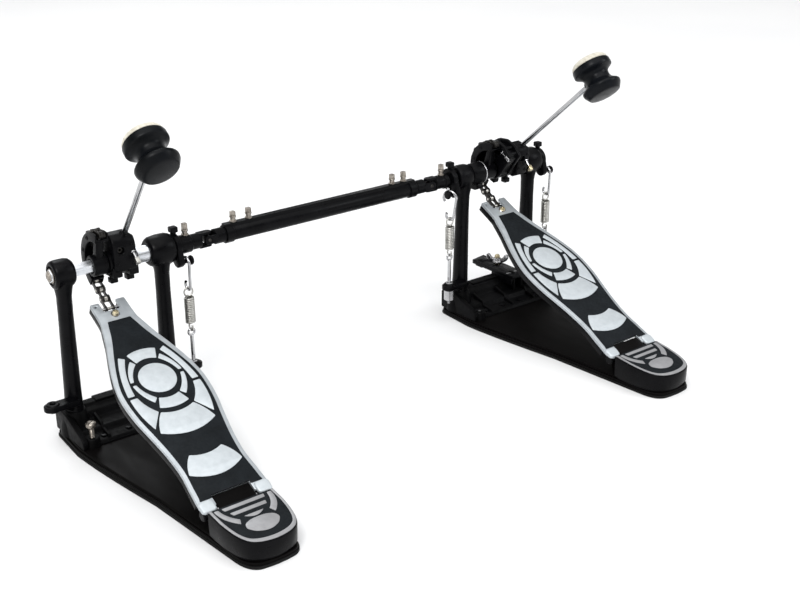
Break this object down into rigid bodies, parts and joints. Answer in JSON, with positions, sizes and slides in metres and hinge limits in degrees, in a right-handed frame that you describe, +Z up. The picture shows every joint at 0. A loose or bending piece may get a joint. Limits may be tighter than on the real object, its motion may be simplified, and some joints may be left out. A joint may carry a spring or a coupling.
{
  "type": "double bass drum pedal",
  "caption": "Twin bass drum pedal: chain-driven footboards, swinging beaters, a telescopic drive shaft with universal joints and a hoop clamp.",
  "frame": {"origin": "centre of the bounding box in plan, on the floor under the rubber mats", "axes": "+X along both axles from the slave pedal to the main pedal, +Y towards the drum, +Z up"},
  "size_m": [0.756, 0.4252, 0.3697],
  "materials": {
    "satin_black": "satin powder coat over castings and plate",
    "floor_rubber": "matte ribbed",
    "bright_steel": "bright nickel plate",
    "spring_steel": "zinc plated wire",
    "chain_steel": "blackened and oiled",
    "board_aluminium": "satin cast, inlaid with charcoal grip",
    "beater_plastic": "glossy black",
    "beater_felt": "pressed wool felt"
  },
  "bodies": {
    "main_base": {"main_floor_mat": "floor_rubber", "main_base_plate": "satin_black", "main_frame": "satin_black", "main_post_left": "satin_black", "main_post_right": "satin_black", "main_heel_plate": "satin_black", "main_hinge_pin": "bright_steel", "main_spring_right": "spring_steel", "main_spring_left": "spring_steel", "main_spring_rod_right": "bright_steel", "main_spring_rod_left": "bright_steel"},
    "slave_base": {"slave_floor_mat": "floor_rubber", "slave_base_plate": "satin_black", "slave_frame": "satin_black", "slave_post_left": "satin_black", "slave_post_right": "satin_black", "slave_heel_plate": "satin_black", "slave_hinge_pin": "bright_steel", "slave_spring_right": "spring_steel", "slave_spring_rod_right": "bright_steel"},
    "slave_axle_body": {"slave_axle": "bright_steel", "slave_cam": "satin_black", "slave_chain_wrap": "chain_steel", "slave_hub": "satin_black", "slave_spring_collar_right": "satin_black", "slave_axle_yoke": "satin_black", "slave_universal_cross": "bright_steel", "drive_rod_fixed": "satin_black", "drive_tube": "satin_black"},
    "slave_footboard_body": {"slave_footboard": "board_aluminium"},
    "slave_link_3_body": {"slave_chain_link_3": "chain_steel"},
    "slave_link_2_body": {"slave_chain_link_2": "chain_steel"},
    "slave_link_1_body": {"slave_chain_link_1": "chain_steel"},
    "slave_strand_body": {"slave_chain_strand": "chain_steel"},
    "slave_beater_body": {"slave_beater_rod": "bright_steel", "slave_beater_head": "beater_plastic", "slave_beater_felt": "beater_felt"},
    "main_axle_body": {"main_axle": "bright_steel", "main_cam": "satin_black", "main_chain_wrap": "chain_steel", "main_hub": "satin_black", "main_spring_collar_right": "satin_black"},
    "main_footboard_body": {"main_footboard": "board_aluminium"},
    "main_link_3_body": {"main_chain_link_3": "chain_steel"},
    "main_link_2_body": {"main_chain_link_2": "chain_steel"},
    "main_link_1_body": {"main_chain_link_1": "chain_steel"},
    "main_strand_body": {"main_chain_strand": "chain_steel"},
    "main_beater_body": {"main_beater_rod": "bright_steel", "main_beater_head": "beater_plastic", "main_beater_felt": "beater_felt"},
    "drive_body": {"drive_axle": "satin_black", "drive_hub": "satin_black", "drive_spring_collar": "satin_black", "drive_universal_cross": "bright_steel", "drive_rod_sliding": "satin_black"},
    "slave_hook_right_body": {"slave_spring_hook_right": "bright_steel"},
    "main_hook_right_body": {"main_spring_hook_right": "bright_steel"},
    "main_hook_left_body": {"main_spring_hook_left": "bright_steel"},
    "clamp_jaw_body": {"clamp_jaw": "satin_black"},
    "wing_nut_body": {"clamp_wing_nut": "bright_steel"}
  },
  "joints": [
    {"name": "slave_reach", "type": "slide", "parent": "main_base", "child": "slave_base", "axis": [-1, 0, 0], "range_m": [0, 0.15]},
    {"name": "slave_axle_turn", "type": "hinge", "parent": "slave_base", "child": "slave_axle_body", "pos_m": [-0.294, 0.1386, 0.197], "axis": [-1, 0, 0], "range_deg": [0, 38.73], "stiffness_Nm_per_rad": 1.2, "springref_deg": -34.38},
    {"name": "slave_footboard_hinge", "type": "hinge", "parent": "slave_base", "child": "slave_footboard_body", "pos_m": [-0.294, -0.1334, 0.03], "axis": [-1, 0, 0], "range_deg": [0, 6.23]},
    {"name": "slave_link_3_bend", "type": "hinge", "parent": "slave_axle_body", "child": "slave_link_3_body", "pos_m": [-0.294, 0.16174, 0.20977], "axis": [1, 0, 0], "range_deg": [0, 10.81]},
    {"name": "slave_link_2_bend", "type": "hinge", "parent": "slave_link_3_body", "child": "slave_link_2_body", "pos_m": [-0.294, 0.16222, 0.19708], "axis": [1, 0, 0], "range_deg": [0, 21.58]},
    {"name": "slave_link_1_bend", "type": "hinge", "parent": "slave_link_2_body", "child": "slave_link_1_body", "pos_m": [-0.294, 0.158, 0.1851], "axis": [1, 0, 0], "range_deg": [0, 21.58]},
    {"name": "slave_strand_bend", "type": "hinge", "parent": "slave_link_1_body", "child": "slave_strand_body", "pos_m": [-0.294, 0.14969, 0.1755], "axis": [1, 0, 0], "range_deg": [0, 10.81]},
    {"name": "slave_beater_height", "type": "slide", "parent": "slave_axle_body", "child": "slave_beater_body", "axis": [0, -0.6129, 0.7902], "range_m": [-0.005, 0.03]},
    {"name": "main_axle_turn", "type": "hinge", "parent": "main_base", "child": "main_axle_body", "pos_m": [0.268, 0.1386, 0.197], "axis": [-1, 0, 0], "range_deg": [0, 38.73], "stiffness_Nm_per_rad": 1.2, "springref_deg": -34.38},
    {"name": "main_footboard_hinge", "type": "hinge", "parent": "main_base", "child": "main_footboard_body", "pos_m": [0.268, -0.1334, 0.03], "axis": [-1, 0, 0], "range_deg": [0, 6.23]},
    {"name": "main_link_3_bend", "type": "hinge", "parent": "main_axle_body", "child": "main_link_3_body", "pos_m": [0.268, 0.16174, 0.20977], "axis": [1, 0, 0], "range_deg": [0, 10.81]},
    {"name": "main_link_2_bend", "type": "hinge", "parent": "main_link_3_body", "child": "main_link_2_body", "pos_m": [0.268, 0.16222, 0.19708], "axis": [1, 0, 0], "range_deg": [0, 21.58]},
    {"name": "main_link_1_bend", "type": "hinge", "parent": "main_link_2_body", "child": "main_link_1_body", "pos_m": [0.268, 0.158, 0.1851], "axis": [1, 0, 0], "range_deg": [0, 21.58]},
    {"name": "main_strand_bend", "type": "hinge", "parent": "main_link_1_body", "child": "main_strand_body", "pos_m": [0.268, 0.14969, 0.1755], "axis": [1, 0, 0], "range_deg": [0, 10.81]},
    {"name": "main_beater_height", "type": "slide", "parent": "main_axle_body", "child": "main_beater_body", "axis": [0, -0.7547, 0.6561], "range_m": [-0.03, 0.003]},
    {"name": "drive_turn", "type": "hinge", "parent": "main_base", "child": "drive_body", "pos_m": [0.218, 0.1386, 0.197], "axis": [-1, 0, 0], "range_deg": [0, 38.78]},
    {"name": "slave_hook_right_lift", "type": "slide", "parent": "slave_base", "child": "slave_hook_right_body", "axis": [0, -0.5558, 0.8313], "range_m": [0, 0.01337], "deforming": ["slave_spring_right"]},
    {"name": "main_hook_right_lift", "type": "slide", "parent": "main_base", "child": "main_hook_right_body", "axis": [0, -0.5558, 0.8313], "range_m": [0, 0.01337], "deforming": ["main_spring_right"]},
    {"name": "main_hook_left_lift", "type": "slide", "parent": "main_base", "child": "main_hook_left_body", "axis": [0, -0.5558, 0.8313], "range_m": [0, 0.01337], "deforming": ["main_spring_left"]},
    {"name": "clamp_jaw_rock", "type": "hinge", "parent": "main_base", "child": "clamp_jaw_body", "pos_m": [0.313, 0.1246, 0.044], "axis": [1, 0, 0], "range_deg": [-5, 2]},
    {"name": "wing_nut_turn", "type": "hinge", "parent": "main_base", "child": "wing_nut_body", "pos_m": [0.313, 0.1626, 0.048], "axis": [0, 0, 1], "continuous": true}
  ],
  "couplings": [
    {"joint": "slave_footboard_hinge", "follows": "slave_axle_turn", "ratio": 0.15965},
    {"joint": "slave_link_3_bend", "follows": "slave_axle_turn", "ratio": 0.2779},
    {"joint": "slave_link_2_bend", "follows": "slave_axle_turn", "ratio": 0.55579},
    {"joint": "slave_link_1_bend", "follows": "slave_axle_turn", "ratio": 0.55579},
    {"joint": "slave_strand_bend", "follows": "slave_axle_turn", "ratio": 0.2779},
    {"joint": "main_footboard_hinge", "follows": "main_axle_turn", "ratio": 0.15965},
    {"joint": "main_link_3_bend", "follows": "main_axle_turn", "ratio": 0.2779},
    {"joint": "main_link_2_bend", "follows": "main_axle_turn", "ratio": 0.55579},
    {"joint": "main_link_1_bend", "follows": "main_axle_turn", "ratio": 0.55579},
    {"joint": "main_strand_bend", "follows": "main_axle_turn", "ratio": 0.2779},
    {"joint": "drive_turn", "follows": "slave_axle_turn", "ratio": 1},
    {"joint": "slave_hook_right_lift", "follows": "slave_axle_turn", "m_per_rad": 0.019621},
    {"joint": "main_hook_right_lift", "follows": "main_axle_turn", "m_per_rad": 0.019621},
    {"joint": "main_hook_left_lift", "follows": "slave_axle_turn", "m_per_rad": 0.019621}
  ]
}
